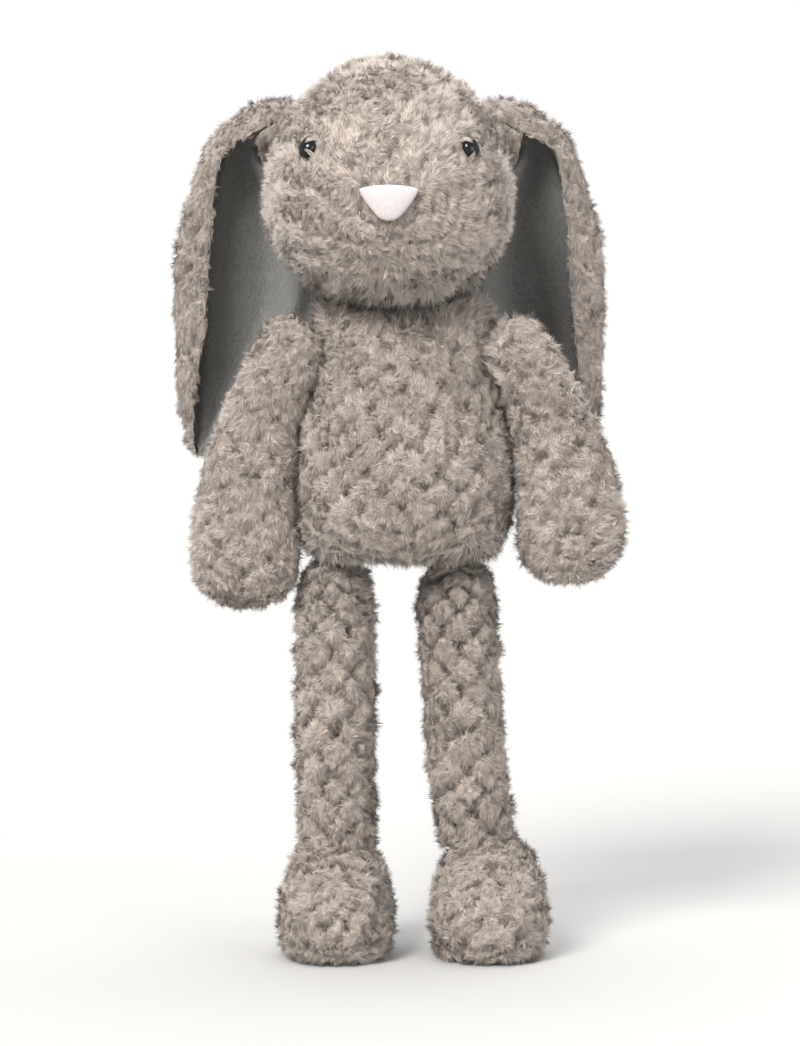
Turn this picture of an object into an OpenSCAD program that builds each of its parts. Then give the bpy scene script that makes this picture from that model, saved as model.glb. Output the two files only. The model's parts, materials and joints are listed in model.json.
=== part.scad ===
// Long-legged plush rabbit, standing: sewn panels, filling, eyes, nose and jointed limbs.
// Millimetres. +Z is up, the rabbit faces -Y, and z = 0 is the floor under the soles.
// "right" and "left" are the rabbit's own sides: right is -X.

/* [Fabric] */
// Thickness of the plush, backing and pile together
plush_t = 3; // [2:0.5:4]
// Thickness of the short-pile ear lining
lining_t = 1.2; // [0.8:0.1:1.6]
// Gap between a cover and what it holds
fabric_gap = 0.4; // [0.3:0.1:0.8]
// Angle left open at each seam between two panels
seam_angle = 0.6; // [0.4:0.1:1.5]

/* [Head] */
// Width of the head across the cheeks
head_w = 122; // [90:1:150]
// Height of the head
head_h = 122; // [90:1:150]
// Depth of the head from the muzzle to the back
head_d = 117; // [90:1:140]
// Sideways place of the head's middle
head_x = -3.7; // [-10:0.1:10]
// How much the crown is narrower than the cheeks
head_taper = 0.15; // [0:0.01:0.25]
// Half of the angle that the middle gusset takes over the crown
gusset_half_angle = 26; // [15:1:40]

/* [Face] */
// Diameter of an eye's dome
eye_d = 10; // [7:0.5:13]
// Distance between the eyes' middles
eye_spacing = 79; // [60:1:90]
// Diameter of the ribbed shank behind an eye
eye_shank_d = 3; // [2:0.5:4]
// Length of the shank
eye_shank_l = 12; // [9:0.5:15]
// Outer diameter of the washer that locks an eye
washer_d = 12; // [9:0.5:16]
// Thickness of the washer
washer_t = 1.5; // [1:0.1:2.5]
// Width of the nose patch
nose_w = 27; // [18:1:34]
// Height of the nose patch
nose_h = 17; // [11:1:22]
// Thickness of the nose patch
nose_t = 1.6; // [1:0.2:3]

/* [Ears] */
// Length of an ear from its fold to its tip
ear_len = 176; // [140:1:190]
// Widest part of an ear as it hangs, gathered into a gutter
ear_w = 55; // [44:1:58]
// Depth of the gutter
ear_d = 31; // [22:1:34]
// How far behind the head's middle the ears hang
ear_back = 41; // [38:1:46]

/* [Torso] */
// Width of the torso at the belly
belly_w = 108; // [80:1:110]
// Depth of the torso at the belly
belly_d = 88; // [70:1:100]
// Width of the torso at the shoulders
shoulder_w = 74; // [60:1:78]
// Length of the torso
torso_len = 123; // [110:1:150]
// Sideways place of the torso's middle
torso_x = 3.3; // [-4:0.1:4]

/* [Arms] */
// Shoulder ball radius
shoulder_r = 15; // [12:0.5:16]
// Width of a paw
paw_w = 52; // [40:1:56]
// Thickness of a paw from front to back
paw_d = 30; // [22:1:32]
// Shoulder to paw middle, right arm
right_arm_reach = 106; // [85:1:130]
// Shoulder to paw middle, left arm
left_arm_reach = 96; // [85:1:130]
// Sideways lean of the right arm as it hangs
right_arm_lean = 12.5; // [8:0.5:20]
// Sideways lean of the left arm as it hangs
left_arm_lean = 19; // [12:0.5:28]

/* [Legs] */
// Height of the hips above the floor
hip_z = 178; // [150:1:220]
// Distance between the hips' middles
hip_spacing = 61; // [56:1:70]
// Leg radius
leg_r = 20; // [15:0.5:21]
// How far the right foot stands outside its hip
right_foot_out = -1; // [-2:0.5:10]
// How far the left foot stands outside its hip
left_foot_out = 13; // [-2:0.5:18]

/* [Feet] */
// Foot width
foot_w = 57; // [44:1:62]
// Foot length
foot_l = 76; // [60:1:90]
// Foot height
foot_h = 58; // [50:1:66]
// Sole thickness
sole_t = 3; // [2:0.5:5]
// Outward turn of the right foot
right_foot_turn = 2; // [0:1:25]
// Outward turn of the left foot
left_foot_turn = 16; // [0:1:25]

/* [Tail and label] */
// Diameter of the round tail
tail_dia = 34; // [24:1:46]
// Length of the blank care label that stands out of the side seam
label_w = 14; // [8:1:20]
// Height of the care label
label_h = 18; // [10:1:30]

/* [Hidden] */

plush_colour = [0.55, 0.50, 0.46];
lining_colour = [0.36, 0.37, 0.37];
thread_colour = [0.45, 0.41, 0.38];
filling_colour = [0.93, 0.93, 0.91];
pink = [0.97, 0.88, 0.87];

lining_inset = plush_t + fabric_gap;
filling_inset = plush_t + 3 * fabric_gap;
// Free space between two pieces that move against each other
joint_gap = 0.6;
front_angles = [180 + seam_angle, 360 - seam_angle];
back_angles = [seam_angle, 180 - seam_angle];
sleeve_angles = [90 + seam_angle, 450 - seam_angle];

// Where the hips and the neck stand between the front and the back of the frame
mid_y = -5.1;
// Torso
hip_top = hip_z + leg_r;
torso_z0 = hip_top + 0.8;
torso_z1 = torso_z0 + torso_len;
shoulder_z = torso_z1 - 16;
// Head
neck_h = 3.5;
head_z0 = torso_z1 + neck_h;
head_z = head_z0 + head_h / 2;
head_front_y = mid_y - head_d * 0.556;
neck_x = (head_x + torso_x) / 2;
// Arms
arm_y = mid_y - 12;
arm_bow = 6.5;
shoulder_side_gap = 5;
// Legs and feet
ankle_r = 22;
ankle_z = foot_h - ankle_r;
leg_end_z = foot_h + 2.4;
leg_y = mid_y;
// Sideways place of the middle between the hips
hips_x = -0.2;
// Ears
ear_root = [-head_w * 0.418, mid_y + 20, head_z + head_h * 0.30];
ear_y = mid_y + ear_back;
eye_z = head_z + head_h * 0.13;
nose_z = head_z - head_h * 0.085;

// ---- Geometry functions ----------------------------------------------------------------------
// A station is [x, y, z, half width, half depth]; a piece is a smooth run through its stations.

function station(keys, u) =
    let (last = len(keys) - 1,
         s = min(max(u, 0), 1) * last,
         i = min(floor(s), last - 1),
         f = s - i,
         a = keys[max(i - 1, 0)],
         b = keys[i],
         c = keys[i + 1],
         d = keys[min(i + 2, last)])
    0.5 * (2 * b + (c - a) * f + (2 * a - 5 * b + 4 * c - d) * f * f
           + (3 * b - a - 3 * c + d) * f * f * f);

function centre(keys, u) = let (s = station(keys, u)) [s[0], s[1], s[2]];

function unit(v) = v / max(norm(v), 0.000001);

// The two directions that a ring is drawn in. "level" rings lie flat, "upright" rings face -Y,
// and "along" rings are square to the piece's own run.
function ring_axes(keys, u, mode) =
    mode == "level" ? [[1, 0, 0], [0, 1, 0]]
    : mode == "upright" ? [[1, 0, 0], [0, 0, 1]]
    : let (run = unit(centre(keys, min(u + 0.01, 1)) - centre(keys, max(u - 0.01, 0))),
           across = unit(cross([0, 1, 0], run)))
      [across, unit(cross(run, across))];

function skin(keys, mode, taper, u, angle) =
    let (s = station(keys, u), axes = ring_axes(keys, u, mode))
    [s[0], s[1], s[2]]
    + s[3] * cos(angle) * (1 - taper * sin(angle)) * axes[0]
    + s[4] * sin(angle) * axes[1];

// A point of the skin, moved inward by "inset" square to the surface
function skin_in(keys, mode, taper, u, angle, inset) =
    let (p = skin(keys, mode, taper, u, angle),
         du = skin(keys, mode, taper, u + 0.004, angle) - skin(keys, mode, taper, u - 0.004, angle),
         da = skin(keys, mode, taper, u, angle + 0.5) - skin(keys, mode, taper, u, angle - 0.5),
         n = unit(cross(du, da)),
         out = n * (p - centre(keys, u)) >= 0 ? n : -n)
    p - inset * out;

// Faces are wound for rings that turn right-handed about the run, and reversed for the others
function wound(keys, mode, faces) =
    let (axes = ring_axes(keys, 0.5, mode), run = centre(keys, 0.55) - centre(keys, 0.45))
    cross(axes[0], axes[1]) * run > 0 ? faces : [for (f = faces) [f[2], f[1], f[0]]];

// A sheet of cloth cut between two angles and two places along the run, as one closed solid
module panel(keys, mode, angles, span, outer, inner, around, along, taper = 0) {
    cols = around + 1;
    rows = along + 1;
    layer = rows * cols;
    pts = [for (inset = [outer, inner], i = [0:along], j = [0:around])
        skin_in(keys, mode, taper, span[0] + (span[1] - span[0]) * i / along,
                angles[0] + (angles[1] - angles[0]) * j / around, inset)];
    function at(k, i, j) = k * layer + i * cols + j;
    faces = concat(
        [for (i = [0:along - 1], j = [0:around - 1], f = [
            [at(0, i, j), at(0, i + 1, j), at(0, i + 1, j + 1)],
            [at(0, i, j), at(0, i + 1, j + 1), at(0, i, j + 1)],
            [at(1, i, j), at(1, i + 1, j + 1), at(1, i + 1, j)],
            [at(1, i, j), at(1, i, j + 1), at(1, i + 1, j + 1)]]) f],
        [for (i = [0:along - 1], f = [
            [at(0, i, 0), at(1, i, 0), at(1, i + 1, 0)],
            [at(0, i, 0), at(1, i + 1, 0), at(0, i + 1, 0)],
            [at(0, i, around), at(1, i + 1, around), at(1, i, around)],
            [at(0, i, around), at(0, i + 1, around), at(1, i + 1, around)]]) f],
        [for (j = [0:around - 1], f = [
            [at(0, 0, j), at(1, 0, j + 1), at(1, 0, j)],
            [at(0, 0, j), at(0, 0, j + 1), at(1, 0, j + 1)],
            [at(0, along, j), at(1, along, j), at(1, along, j + 1)],
            [at(0, along, j), at(1, along, j + 1), at(0, along, j + 1)]]) f]);
    polyhedron(points = pts, faces = wound(keys, mode, faces), convexity = 6);
}

// A closed bag of filling that follows the same stations, moved inward
module bag(keys, mode, span, inset, around, along, taper = 0) {
    ring_pts = [for (i = [0:along], j = [0:around - 1])
        skin_in(keys, mode, taper, span[0] + (span[1] - span[0]) * i / along, 360 * j / around,
                inset)];
    function ring_mid(i) =
        [for (j = [0:around - 1]) 1 / around] * [for (j = [0:around - 1]) ring_pts[i * around + j]];
    tip_0 = len(ring_pts);
    pts = concat(ring_pts, [ring_mid(0), ring_mid(along)]);
    function at(i, j) = i * around + j % around;
    faces = concat(
        [for (i = [0:along - 1], j = [0:around - 1], f = [
            [at(i, j), at(i + 1, j), at(i + 1, j + 1)],
            [at(i, j), at(i + 1, j + 1), at(i, j + 1)]]) f],
        [for (j = [0:around - 1]) [tip_0, at(0, j), at(0, j + 1)]],
        [for (j = [0:around - 1]) [tip_0 + 1, at(along, j + 1), at(along, j)]]);
    polyhedron(points = pts, faces = wound(keys, mode, faces), convexity = 4);
}

// ---- Stations of each piece --------------------------------------------------------------------

torso_keys = [
    [torso_x, mid_y, torso_z0, 8, 7],
    [torso_x, mid_y - 1, torso_z0 + 2.5, belly_w * 0.26, belly_d * 0.26],
    [torso_x, mid_y - 2, torso_z0 + 12, belly_w * 0.43, belly_d * 0.43],
    [torso_x, mid_y - 2, torso_z0 + 32, belly_w / 2, belly_d / 2],
    [torso_x, mid_y - 1, (torso_z0 + shoulder_z) / 2 + 6, belly_w * 0.46, belly_d * 0.46],
    [torso_x, mid_y, shoulder_z - 20, shoulder_w / 2 + 6, belly_d * 0.41],
    [torso_x, mid_y + 1, shoulder_z, shoulder_w / 2, belly_d * 0.36],
    [torso_x, mid_y + 1, torso_z1 - 4, shoulder_w * 0.36, belly_d * 0.26],
    [torso_x, mid_y + 1, torso_z1, 9, 8]];

head_keys = [
    [head_x, head_front_y, head_z - head_h * 0.13, 5, 5],
    [head_x, head_front_y + 4, head_z - head_h * 0.12, head_w * 0.19, head_h * 0.16],
    [head_x, head_front_y + 16, head_z - head_h * 0.06, head_w * 0.35, head_h * 0.33],
    [head_x, head_front_y + 36, head_z - head_h * 0.015, head_w * 0.46, head_h * 0.455],
    [head_x, mid_y, head_z, head_w / 2, head_h / 2],
    [head_x, head_front_y + head_d - 26, head_z + 1, head_w * 0.45, head_h * 0.46],
    [head_x, head_front_y + head_d - 9, head_z + 2, head_w * 0.29, head_h * 0.30],
    [head_x, head_front_y + head_d, head_z + 2, 6, 6]];

ear_keys = [
    [ear_root[0] - 4, ear_root[1], ear_root[2], ear_w * 0.15, ear_d * 0.22],
    [ear_root[0] - 12, ear_y - 14, ear_root[2] - 5, ear_w * 0.22, ear_d * 0.30],
    [ear_root[0] - 22, ear_y - 8, ear_root[2] - ear_len * 0.15, ear_w * 0.36, ear_d * 0.42],
    [ear_root[0] - 28, ear_y - 3, ear_root[2] - ear_len * 0.32, ear_w * 0.47, ear_d / 2],
    [ear_root[0] - 33, ear_y, ear_root[2] - ear_len * 0.51, ear_w / 2, ear_d / 2],
    [ear_root[0] - 37, ear_y, ear_root[2] - ear_len * 0.71, ear_w * 0.46, ear_d * 0.46],
    [ear_root[0] - 41, ear_y, ear_root[2] - ear_len * 0.89, ear_w * 0.33, ear_d * 0.34],
    [ear_root[0] - 44, ear_y - 1, ear_root[2] - ear_len * 0.99, ear_w * 0.12, ear_d * 0.16]];

// An arm hangs from its shoulder's middle, which is at the origin here
function arm_keys(reach) = [
    [0, 0, shoulder_r - 0.3, 3, 3],
    [0, 0, shoulder_r * 0.72, shoulder_r * 0.68, shoulder_r * 0.68],
    [0, 0, 0, shoulder_r, shoulder_r * 0.95],
    [-arm_bow, 0, -reach * 0.30, shoulder_r + 2, shoulder_r * 0.95],
    [-arm_bow, 0, -reach * 0.58, paw_w * 0.40, paw_d * 0.47],
    [-arm_bow * 0.6, 0, -reach * 0.84, paw_w * 0.47, paw_d / 2],
    [0, 0, -reach - 3, paw_w * 0.49, paw_d / 2],
    [0, 0, -reach - 17, paw_w * 0.37, paw_d * 0.40],
    [0, 0, -reach - 25, 6, 5]];

// A leg runs from the hip's middle, at the origin here, to its end above the foot
function leg_keys(out) = [
    [0, 0, leg_r - 0.3 - joint_gap, 3, 3],
    [0, 0, leg_r * 0.70, leg_r * 0.66, leg_r * 0.66],
    [0, 0, 0, leg_r - joint_gap, leg_r - joint_gap],
    [-out * 0.16, 0, (leg_end_z - hip_z) * 0.35, leg_r, leg_r],
    [-out * 0.36, 0, (leg_end_z - hip_z) * 0.68, leg_r, leg_r],
    [-out * 0.76, 0, leg_end_z - hip_z, leg_r * 0.96, leg_r * 0.96]];

// A foot stands on the floor around its ankle's middle
foot_keys = [
    [0, -foot_l * 0.13, sole_t + fabric_gap, foot_w * 0.46, foot_l * 0.46],
    [0, -foot_l * 0.14, foot_h * 0.25, foot_w / 2, foot_l / 2],
    [0, -foot_l * 0.13, foot_h * 0.50, foot_w * 0.49, foot_l * 0.46],
    [0, -foot_l * 0.07, foot_h * 0.74, foot_w * 0.43, foot_l * 0.38],
    [0, -foot_l * 0.02, foot_h * 0.91, foot_w * 0.29, foot_l * 0.24],
    [0, 0, foot_h, 4, 4]];

tail_r = tail_dia / 2;
tail_y = mid_y + belly_d / 2 - 1 + tail_r;
tail_z = torso_z0 + 34;
tail_keys = [for (s = [-0.99, -0.7, 0, 0.7, 0.99])
    [0, 0, tail_r * s, tail_r * sqrt(1 - s * s) + 0.3, tail_r * sqrt(1 - s * s) + 0.3]];

// ---- Placing: a left piece is a right piece seen in a mirror ------------------------------------

module on_side(side) {
    mirror([side == "left" ? 1 : 0, 0, 0]) children();
}

module about_head(side) {
    translate([head_x, 0, 0]) on_side(side) children();
}

function arm_reach(side) = side == "left" ? left_arm_reach : right_arm_reach;
function arm_lean(side) = side == "left" ? left_arm_lean : right_arm_lean;
function foot_out(side) = side == "left" ? left_foot_out : right_foot_out;
function foot_turn(side) = side == "left" ? left_foot_turn : right_foot_turn;
shoulder_out = shoulder_w / 2 + shoulder_side_gap + shoulder_r;

module at_shoulder(side) {
    translate([torso_x, arm_y, shoulder_z]) on_side(side) translate([-shoulder_out, 0, 0]) children();
}

module at_hip(side) {
    translate([hips_x, leg_y, hip_z]) on_side(side) translate([-hip_spacing / 2, 0, 0]) children();
}

module at_foot(side) {
    translate([hips_x, leg_y, 0]) on_side(side)
        translate([-hip_spacing / 2 - foot_out(side), 0, 0]) rotate([0, 0, -foot_turn(side)])
            children();
}

// ---- Torso ---------------------------------------------------------------------------------------

module torso_front() {
    color(plush_colour)
        panel(torso_keys, "level", front_angles, [0.03, 0.97], 0, plush_t, 12, 12);
}

module torso_back() {
    color(plush_colour)
        panel(torso_keys, "level", back_angles, [0.03, 0.97], 0, plush_t, 12, 12);
}

module torso_filling() {
    color(filling_colour)
        bag(torso_keys, "level", [0.05, 0.95], filling_inset, 18, 9);
}

module tail_place() {
    translate([torso_x, tail_y, tail_z]) children();
}

module tail_cover() {
    color(plush_colour) tail_place()
        panel(tail_keys, "level", sleeve_angles, [0.04, 0.96], 0, plush_t, 16, 8);
}

module tail_filling() {
    color(filling_colour) tail_place()
        sphere(r = tail_r - filling_inset - 1, $fn = 32);
}

module tail_thread() {
    color(thread_colour) translate([torso_x, tail_y - tail_r - 0.9, tail_z]) rotate([-90, 0, 0])
        cylinder(d = 8, h = 0.6, $fn = 24);
}

module care_label() {
    color("white")
        translate([torso_x + belly_w * 0.35, mid_y + belly_d * 0.36, torso_z0 + 22])
            rotate([0, 0, 40]) cube([label_w, 0.5, label_h]);
}

module neck_thread() {
    color(thread_colour) translate([neck_x, mid_y + 1, torso_z1 + neck_h / 2])
        rotate_extrude($fn = 48) translate([4, 0]) circle(d = neck_h - 2, $fn = 16);
}

// ---- Head ----------------------------------------------------------------------------------------

head_span = [0.025, 0.975];
gusset_angles = [90 - gusset_half_angle + seam_angle, 90 + gusset_half_angle - seam_angle];
right_side_angles = [90 + gusset_half_angle + seam_angle, 270 - seam_angle];
left_side_angles = [-90 + seam_angle, 90 - gusset_half_angle - seam_angle];

module head_panel(angles, around) {
    color(plush_colour)
        panel(head_keys, "upright", angles, head_span, 0, plush_t, around, 12, head_taper);
}

module head_side_right() { head_panel(right_side_angles, 10); }
module head_side_left() { head_panel(left_side_angles, 10); }
module head_gusset() { head_panel(gusset_angles, 4); }

module head_filling() {
    color(filling_colour)
        bag(head_keys, "upright", [0.05, 0.95], filling_inset, 18, 9, head_taper);
}

// The eyes sit square to the skin, at their own height and spacing: "face_angle" finds the angle at
// which a ring of the head reaches the eyes' height, and "eye_ring" the ring that is wide enough there.
function face_angle(u) =
    let (s = station(head_keys, u)) 180 - asin(min(max((eye_z - s[2]) / s[4], -1), 1));
function face_out(u) = head_x - skin(head_keys, "upright", head_taper, u, face_angle(u))[0];
function eye_ring(low, high, tries) =
    let (mid = (low + high) / 2)
    tries == 0 ? mid
    : face_out(mid) < eye_spacing / 2 ? eye_ring(mid, high, tries - 1) : eye_ring(low, mid, tries - 1);
eye_u = eye_ring(0.16, 0.56, 20);
eye_skin = skin(head_keys, "upright", head_taper, eye_u, face_angle(eye_u)) - [head_x, 0, 0];
eye_in = skin_in(head_keys, "upright", head_taper, eye_u, face_angle(eye_u), 1) - [head_x, 0, 0];
eye_out = eye_skin - eye_in;
eye_turn = [0, acos(eye_out[2]), atan2(eye_out[1], eye_out[0])];

module at_eye(side) {
    about_head(side) translate(eye_skin) rotate(eye_turn) children();
}

module eye(side) {
    color("black") at_eye(side) translate([0, 0, 0.2]) rotate_extrude($fn = 48) {
        intersection() {
            scale([1, 0.75]) circle(d = eye_d, $fn = 48);
            square([eye_d, eye_d]);
        }
        translate([0, -eye_shank_l]) square([eye_shank_d / 2, eye_shank_l]);
    }
}

module eye_washer(side) {
    color("white") at_eye(side) translate([0, 0, -filling_inset - washer_t]) difference() {
        cylinder(d = washer_d, h = washer_t, $fn = 48);
        translate([0, 0, -1]) cylinder(d = eye_shank_d + 0.04, h = washer_t + 2, $fn = 48);
    }
}

module eye_right() { eye("right"); }
module eye_left() { eye("left"); }
module eye_washer_right() { eye_washer("right"); }
module eye_washer_left() { eye_washer("left"); }

// The nose is a soft three-cornered patch, widest at the top
module nose_patch() {
    corner = nose_h * 0.2;
    color(pink) translate([head_x, head_front_y - fabric_gap, nose_z]) rotate([90, 0, 0])
        linear_extrude(nose_t) hull() {
            translate([-nose_w / 2 + corner, nose_h / 2 - corner]) circle(corner, $fn = 24);
            translate([nose_w / 2 - corner, nose_h / 2 - corner]) circle(corner, $fn = 24);
            translate([0, -nose_h / 2 + corner * 1.4]) circle(corner * 1.4, $fn = 24);
        }
}

// ---- Ears ----------------------------------------------------------------------------------------

ear_span = [0.01, 0.99];
ear_angles = [-28, 172];

module ear_thread(side) {
    color(thread_colour) about_head(side) translate(ear_root) rotate([0, 90, 0])
        cylinder(r = 3, h = 4, $fn = 24);
}

module ear_sheet(side, outer, inner) {
    about_head(side) panel(ear_keys, "along", ear_angles, ear_span, outer, inner, 8, 14);
}

module ear_outer(side) {
    color(plush_colour) ear_sheet(side, 0, plush_t);
}

module ear_lining(side) {
    color(lining_colour) ear_sheet(side, lining_inset, lining_inset + lining_t);
}

module ear_thread_right() { ear_thread("right"); }
module ear_thread_left() { ear_thread("left"); }
module ear_outer_right() { ear_outer("right"); }
module ear_outer_left() { ear_outer("left"); }
module ear_lining_right() { ear_lining("right"); }
module ear_lining_left() { ear_lining("left"); }

// ---- Arms ----------------------------------------------------------------------------------------

module shoulder_thread(side) {
    color(thread_colour) at_shoulder(side) translate([shoulder_r + joint_gap, 0, 0])
        rotate([0, 90, 0]) cylinder(r = 3.5, h = shoulder_side_gap - 2.5 * joint_gap, $fn = 24);
}

module arm_panel(side, angles) {
    color(plush_colour) at_shoulder(side) rotate([0, arm_lean(side), 0])
        panel(arm_keys(arm_reach(side)), "level", angles, [0.03, 0.97], 0, plush_t, 8, 12);
}

module arm_filling(side) {
    color(filling_colour) at_shoulder(side) rotate([0, arm_lean(side), 0])
        bag(arm_keys(arm_reach(side)), "level", [0.07, 0.93], filling_inset, 14, 9);
}

module shoulder_thread_right() { shoulder_thread("right"); }
module shoulder_thread_left() { shoulder_thread("left"); }
module arm_front_right() { arm_panel("right", front_angles); }
module arm_front_left() { arm_panel("left", front_angles); }
module arm_back_right() { arm_panel("right", back_angles); }
module arm_back_left() { arm_panel("left", back_angles); }
module arm_filling_right() { arm_filling("right"); }
module arm_filling_left() { arm_filling("left"); }

// ---- Legs ----------------------------------------------------------------------------------------

module hip_thread(side) {
    color(thread_colour) at_hip(side) translate([0, 0, leg_r - joint_gap + 0.3])
        cylinder(r = 4, h = 0.7, $fn = 24);
}

module leg_cover(side) {
    color(plush_colour) at_hip(side)
        panel(leg_keys(foot_out(side)), "level", sleeve_angles, [0.04, 1], 0, plush_t, 16, 10);
}

module leg_filling(side) {
    color(filling_colour) at_hip(side)
        bag(leg_keys(foot_out(side)), "level", [0.09, 0.98], filling_inset, 14, 8);
}

module ankle_thread(side) {
    color(thread_colour) translate([hips_x, leg_y, foot_h + joint_gap + 0.3]) on_side(side)
        translate([-hip_spacing / 2 - foot_out(side) * 0.9, 0, 0])
            cylinder(r = 4, h = 1, $fn = 32);
}

module hip_thread_right() { hip_thread("right"); }
module hip_thread_left() { hip_thread("left"); }
module leg_cover_right() { leg_cover("right"); }
module leg_cover_left() { leg_cover("left"); }
module leg_filling_right() { leg_filling("right"); }
module leg_filling_left() { leg_filling("left"); }
module ankle_thread_right() { ankle_thread("right"); }
module ankle_thread_left() { ankle_thread("left"); }

// ---- Feet ----------------------------------------------------------------------------------------

module foot_upper(side) {
    color(plush_colour) at_foot(side)
        panel(foot_keys, "level", sleeve_angles, [0, 0.97], 0, plush_t, 16, 8);
}

// The sole's outline is two round ends joined by straight sides, inside the upper's lower edge
module foot_sole(side) {
    end_r = foot_keys[0][3] - 2;
    end_y = max(foot_keys[0][4] - 1 - end_r, 1);
    color(plush_colour) at_foot(side) translate([0, foot_keys[0][1], 0]) linear_extrude(sole_t) {
        translate([0, end_y]) circle(r = end_r, $fn = 64);
        translate([0, -end_y]) circle(r = end_r, $fn = 64);
        translate([-end_r, -end_y]) square([2 * end_r, 2 * end_y]);
    }
}

module foot_filling(side) {
    color(filling_colour) at_foot(side)
        bag(foot_keys, "level", [0.02, 0.94], filling_inset, 16, 7);
}

module foot_upper_right() { foot_upper("right"); }
module foot_upper_left() { foot_upper("left"); }
module foot_sole_right() { foot_sole("right"); }
module foot_sole_left() { foot_sole("left"); }
module foot_filling_right() { foot_filling("right"); }
module foot_filling_left() { foot_filling("left"); }

// ---- Drawing -------------------------------------------------------------------------------------

torso_front();
torso_back();
torso_filling();
tail_cover();
tail_filling();
tail_thread();
care_label();
neck_thread();
head_side_right();
head_side_left();
head_gusset();
head_filling();
eye_right();
eye_left();
eye_washer_right();
eye_washer_left();
nose_patch();
ear_thread_right();
ear_thread_left();
ear_outer_right();
ear_lining_right();
ear_outer_left();
ear_lining_left();
shoulder_thread_right();
arm_front_right();
arm_back_right();
arm_filling_right();
shoulder_thread_left();
arm_front_left();
arm_back_left();
arm_filling_left();
hip_thread_right();
leg_cover_right();
leg_filling_right();
ankle_thread_right();
hip_thread_left();
leg_cover_left();
leg_filling_left();
ankle_thread_left();
foot_upper_right();
foot_sole_right();
foot_filling_right();
foot_upper_left();
foot_sole_left();
foot_filling_left();
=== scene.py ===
"""A standing long-legged plush rabbit: bubble plush skins with real pile, lined lop ears, eyes and nose."""
import json
import math

import bpy
import numpy as np
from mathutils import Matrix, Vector


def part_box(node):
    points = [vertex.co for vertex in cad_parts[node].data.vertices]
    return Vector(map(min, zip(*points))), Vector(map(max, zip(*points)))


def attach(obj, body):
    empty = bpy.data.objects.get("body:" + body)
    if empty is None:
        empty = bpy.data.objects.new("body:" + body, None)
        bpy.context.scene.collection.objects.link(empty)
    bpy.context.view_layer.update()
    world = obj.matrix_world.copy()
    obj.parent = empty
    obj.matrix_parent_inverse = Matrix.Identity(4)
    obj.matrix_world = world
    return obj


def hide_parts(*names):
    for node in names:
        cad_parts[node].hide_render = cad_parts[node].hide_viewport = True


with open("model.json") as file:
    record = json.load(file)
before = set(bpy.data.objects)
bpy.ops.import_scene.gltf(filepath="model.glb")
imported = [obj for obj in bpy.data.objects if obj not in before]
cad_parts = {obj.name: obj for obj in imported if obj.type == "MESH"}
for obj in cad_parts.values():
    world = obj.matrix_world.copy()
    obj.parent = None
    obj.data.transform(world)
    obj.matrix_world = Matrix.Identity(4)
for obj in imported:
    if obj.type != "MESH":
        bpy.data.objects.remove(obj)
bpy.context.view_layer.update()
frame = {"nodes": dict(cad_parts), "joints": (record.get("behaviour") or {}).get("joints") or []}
MM = 0.001
SIDES = {"right": -1.0, "left": 1.0}
ARM_LEAN = {"right": 12.5, "left": 16.8}  # degrees
PAW_W = 52.0 * MM
PILE_LENGTH = 4.6 * MM
SOLE_SEAM_Z = 9 * MM
TAIL_SEAT = 5 * MM  # how far the stitch pulls the tail against the torso


# ---- Camera, light and floor ---------------------------------------------------------------------
VIEW_HEIGHT = 0.523
CAMERA_DISTANCE = 2.2
CAMERA_Z = 0.40


def make_camera():
    data = bpy.data.cameras.new("camera")
    camera = bpy.data.objects.new("camera", data)
    bpy.context.scene.collection.objects.link(camera)
    eye = Vector((0.0017, -CAMERA_DISTANCE, CAMERA_Z))
    aim = Vector((0.0017, 0.0, 0.2156))
    camera.location = eye
    camera.rotation_euler = (aim - eye).to_track_quat("-Z", "Y").to_euler()
    data.sensor_width = 36.0
    data.lens = data.sensor_width * (aim - eye).length / VIEW_HEIGHT
    data.clip_end = 20.0
    bpy.context.scene.camera = camera


def soft_light(name, direction, spread, strength, colour=(1.0, 1.0, 1.0)):
    """A broad distant studio light. The direction points from the toy to the light."""
    data = bpy.data.lights.new(name, "SUN")
    data.angle = math.radians(spread)
    data.energy = strength
    data.color = colour
    light = bpy.data.objects.new(name, data)
    light.location = Vector(direction)
    light.rotation_euler = (-Vector(direction)).to_track_quat("-Z", "Y").to_euler()
    bpy.context.scene.collection.objects.link(light)


def set_world(low, high):
    """An even studio: as bright as the far floor at the horizon, and dimmer overhead."""
    world = bpy.data.worlds.new("studio")
    bpy.context.scene.world = world
    world.use_nodes = True
    tree = world.node_tree
    coords = tree.nodes.new("ShaderNodeTexCoord")
    split = tree.nodes.new("ShaderNodeSeparateXYZ")
    climb = tree.nodes.new("ShaderNodeMapRange")
    climb.inputs["From Min"].default_value = 0.04
    climb.inputs["From Max"].default_value = 0.5
    climb.inputs["To Min"].default_value = low
    climb.inputs["To Max"].default_value = high
    background = tree.nodes["Background"]
    background.inputs["Color"].default_value = (1.0, 0.995, 0.985, 1.0)
    tree.links.new(coords.outputs["Generated"], split.inputs["Vector"])
    tree.links.new(split.outputs["Z"], climb.inputs["Value"])
    tree.links.new(climb.outputs["Result"], background.inputs["Strength"])


make_camera()
bpy.context.scene.view_settings.view_transform = "Standard"
soft_light("key", (-0.9, -1.55, 1.5), 24, 4.2, (1.0, 0.985, 0.96))
soft_light("fill", (1.5, -1.4, 0.5), 35, 1.0, (0.97, 0.985, 1.0))
soft_light("top", (0.1, 0.3, 1.5), 45, 2.1)
set_world(1.03, 0.74)


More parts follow.
